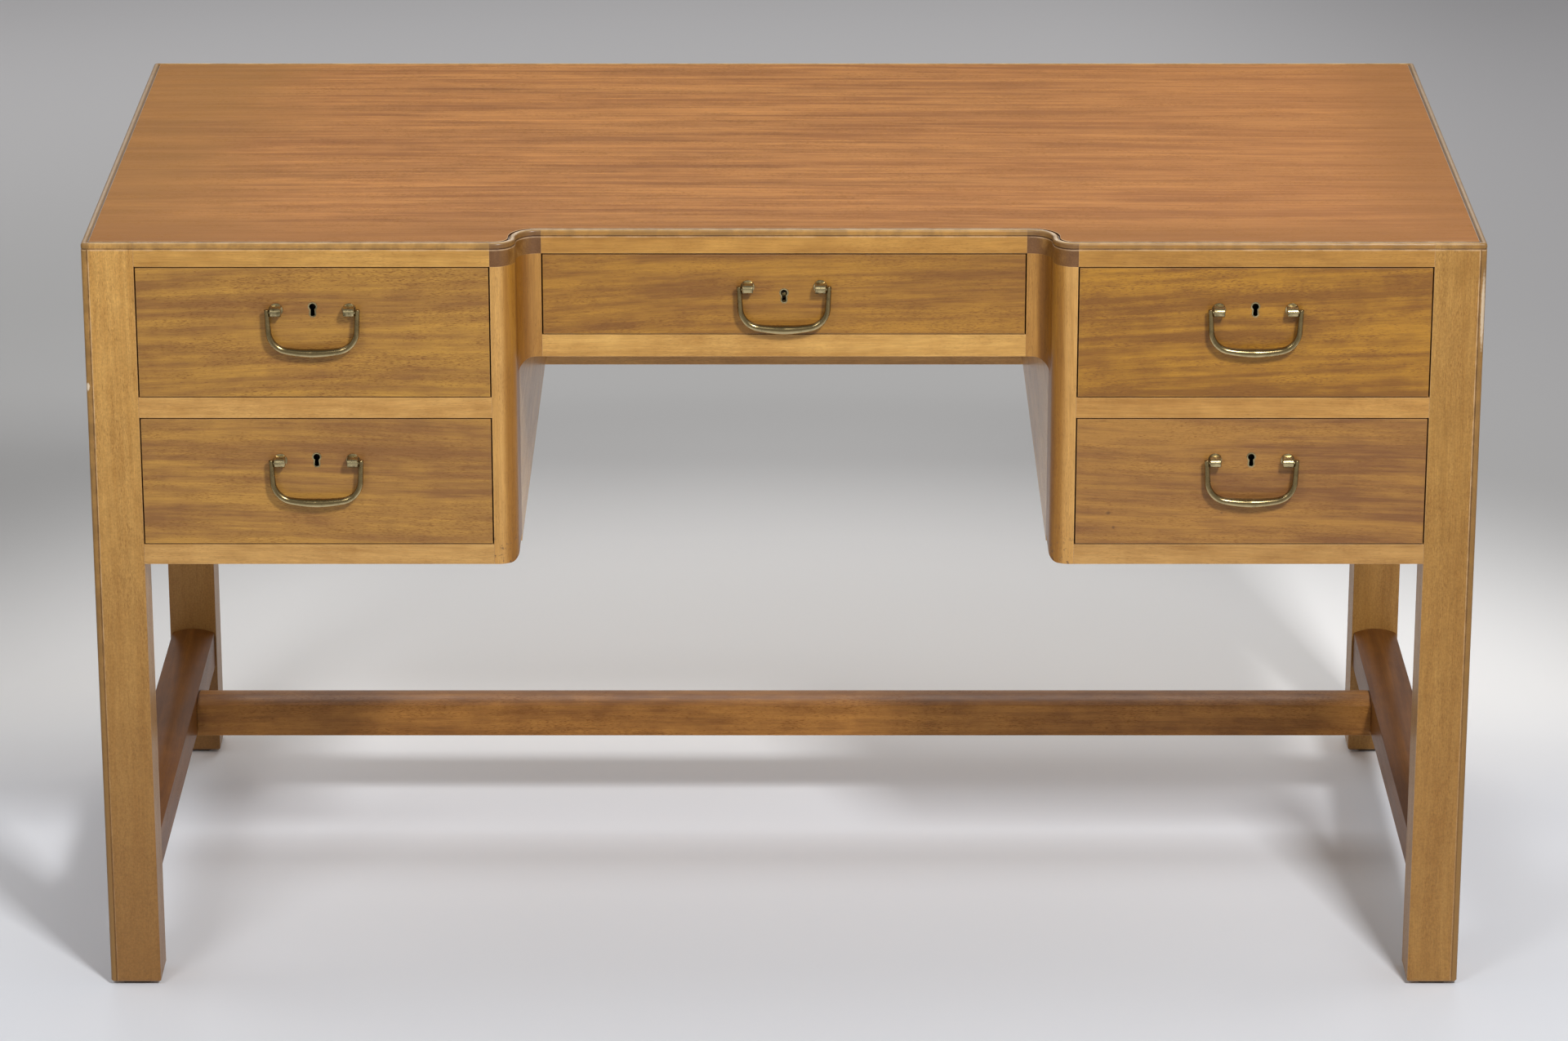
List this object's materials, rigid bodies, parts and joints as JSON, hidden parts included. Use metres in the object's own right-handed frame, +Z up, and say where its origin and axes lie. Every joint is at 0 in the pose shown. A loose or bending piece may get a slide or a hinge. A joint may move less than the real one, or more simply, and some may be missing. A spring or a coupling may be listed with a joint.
{
  "type": "kneehole writing desk",
  "caption": "Wooden kneehole writing desk with two drawer pedestals, a recessed middle drawer between S-curved corners, brass drop handles and square legs tied by an H-stretcher.",
  "frame": {"origin": "on the floor under the middle of the desk, handles counted in", "axes": "+Z up, +Y towards the back, so the drawers face -Y, +X to the sitter's right"},
  "size_m": [1.28, 0.6626, 0.735],
  "materials": {
    "mahogany": "satin, waxed, faded reddish brown",
    "drawer_front_mahogany": "satin, waxed, darker and figured",
    "end_grain_mahogany": "satin, waxed end grain",
    "drawer_lining": "dry, unpolished",
    "brass": "worn, softly polished",
    "lock_steel": "dull",
    "glide": "matte, dark"
  },
  "bodies": {
    "carcass": {"back_bottom_rail": "mahogany", "back_leg_left": "mahogany", "back_leg_right": "mahogany", "back_panel": "mahogany", "back_top_rail": "mahogany", "bottom_rail_left": "mahogany", "bottom_rail_right": "mahogany", "centre_rail": "mahogany", "centre_stretcher": "mahogany", "curved_blocks": "end_grain_mahogany", "curved_post_left": "mahogany", "curved_post_right": "mahogany", "drawer_kickers": "drawer_lining", "drawer_runners": "drawer_lining", "drawer_stops": "drawer_lining", "end_panel_left": "mahogany", "end_panel_right": "mahogany", "foot_glides": "glide", "front_leg_left": "mahogany", "front_leg_right": "mahogany", "inner_panel_left": "mahogany", "inner_panel_right": "mahogany", "middle_rail_left": "mahogany", "middle_rail_right": "mahogany", "side_stretcher_left": "mahogany", "side_stretcher_right": "mahogany", "top_panel": "mahogany", "top_rail_centre": "mahogany", "top_rail_left": "mahogany", "top_rail_right": "mahogany"},
    "upper_left_drawer": {"upper_left_drawer_front": "drawer_front_mahogany", "upper_left_drawer_box": "drawer_lining", "upper_left_drawer_lock": "brass", "upper_left_drawer_handle_posts": "brass"},
    "upper_left_drawer_bolt": {"upper_left_drawer_bolt": "lock_steel"},
    "upper_left_drawer_bail": {"upper_left_drawer_bail": "brass"},
    "lower_left_drawer": {"lower_left_drawer_front": "drawer_front_mahogany", "lower_left_drawer_box": "drawer_lining", "lower_left_drawer_lock": "brass", "lower_left_drawer_handle_posts": "brass"},
    "lower_left_drawer_bolt": {"lower_left_drawer_bolt": "lock_steel"},
    "lower_left_drawer_bail": {"lower_left_drawer_bail": "brass"},
    "upper_right_drawer": {"upper_right_drawer_front": "drawer_front_mahogany", "upper_right_drawer_box": "drawer_lining", "upper_right_drawer_lock": "brass", "upper_right_drawer_handle_posts": "brass"},
    "upper_right_drawer_bolt": {"upper_right_drawer_bolt": "lock_steel"},
    "upper_right_drawer_bail": {"upper_right_drawer_bail": "brass"},
    "lower_right_drawer": {"lower_right_drawer_front": "drawer_front_mahogany", "lower_right_drawer_box": "drawer_lining", "lower_right_drawer_lock": "brass", "lower_right_drawer_handle_posts": "brass"},
    "lower_right_drawer_bolt": {"lower_right_drawer_bolt": "lock_steel"},
    "lower_right_drawer_bail": {"lower_right_drawer_bail": "brass"},
    "centre_drawer": {"centre_drawer_front": "drawer_front_mahogany", "centre_drawer_box": "drawer_lining", "centre_drawer_lock": "brass", "centre_drawer_handle_posts": "brass"},
    "centre_drawer_bolt": {"centre_drawer_bolt": "lock_steel"},
    "centre_drawer_bail": {"centre_drawer_bail": "brass"}
  },
  "joints": [
    {"name": "upper_left_drawer_slide", "type": "slide", "parent": "carcass", "child": "upper_left_drawer", "axis": [0, -1, 0], "range_m": [0, 0.42]},
    {"name": "upper_left_drawer_bail_swing", "type": "hinge", "parent": "upper_left_drawer", "child": "upper_left_drawer_bail", "pos_m": [-0.4304, -0.32673, 0.672], "axis": [-1, 0, 0], "range_deg": [-4.5, 184.5]},
    {"name": "upper_left_drawer_bolt_throw", "type": "slide", "parent": "upper_left_drawer", "child": "upper_left_drawer_bolt", "axis": [0, 0, 1], "range_m": [0, 0.0065]},
    {"name": "lower_left_drawer_slide", "type": "slide", "parent": "carcass", "child": "lower_left_drawer", "axis": [0, -1, 0], "range_m": [0, 0.42]},
    {"name": "lower_left_drawer_bail_swing", "type": "hinge", "parent": "lower_left_drawer", "child": "lower_left_drawer_bail", "pos_m": [-0.4304, -0.32673, 0.5273], "axis": [-1, 0, 0], "range_deg": [-4.5, 184.5]},
    {"name": "lower_left_drawer_bolt_throw", "type": "slide", "parent": "lower_left_drawer", "child": "lower_left_drawer_bolt", "axis": [0, 0, 1], "range_m": [0, 0.0065]},
    {"name": "upper_right_drawer_slide", "type": "slide", "parent": "carcass", "child": "upper_right_drawer", "axis": [0, -1, 0], "range_m": [0, 0.42]},
    {"name": "upper_right_drawer_bail_swing", "type": "hinge", "parent": "upper_right_drawer", "child": "upper_right_drawer_bail", "pos_m": [0.4304, -0.32673, 0.672], "axis": [-1, 0, 0], "range_deg": [-4.5, 184.5]},
    {"name": "upper_right_drawer_bolt_throw", "type": "slide", "parent": "upper_right_drawer", "child": "upper_right_drawer_bolt", "axis": [0, 0, 1], "range_m": [0, 0.0065]},
    {"name": "lower_right_drawer_slide", "type": "slide", "parent": "carcass", "child": "lower_right_drawer", "axis": [0, -1, 0], "range_m": [0, 0.42]},
    {"name": "lower_right_drawer_bail_swing", "type": "hinge", "parent": "lower_right_drawer", "child": "lower_right_drawer_bail", "pos_m": [0.4304, -0.32673, 0.5273], "axis": [-1, 0, 0], "range_deg": [-4.5, 184.5]},
    {"name": "lower_right_drawer_bolt_throw", "type": "slide", "parent": "lower_right_drawer", "child": "lower_right_drawer_bolt", "axis": [0, 0, 1], "range_m": [0, 0.0065]},
    {"name": "centre_drawer_slide", "type": "slide", "parent": "carcass", "child": "centre_drawer", "axis": [0, -1, 0], "range_m": [0, 0.4]},
    {"name": "centre_drawer_bail_swing", "type": "hinge", "parent": "centre_drawer", "child": "centre_drawer_bail", "pos_m": [0, -0.28323, 0.681], "axis": [-1, 0, 0], "range_deg": [-4.5, 184.5]},
    {"name": "centre_drawer_bolt_throw", "type": "slide", "parent": "centre_drawer", "child": "centre_drawer_bolt", "axis": [0, 0, 1], "range_m": [0, 0.0065]}
  ]
}
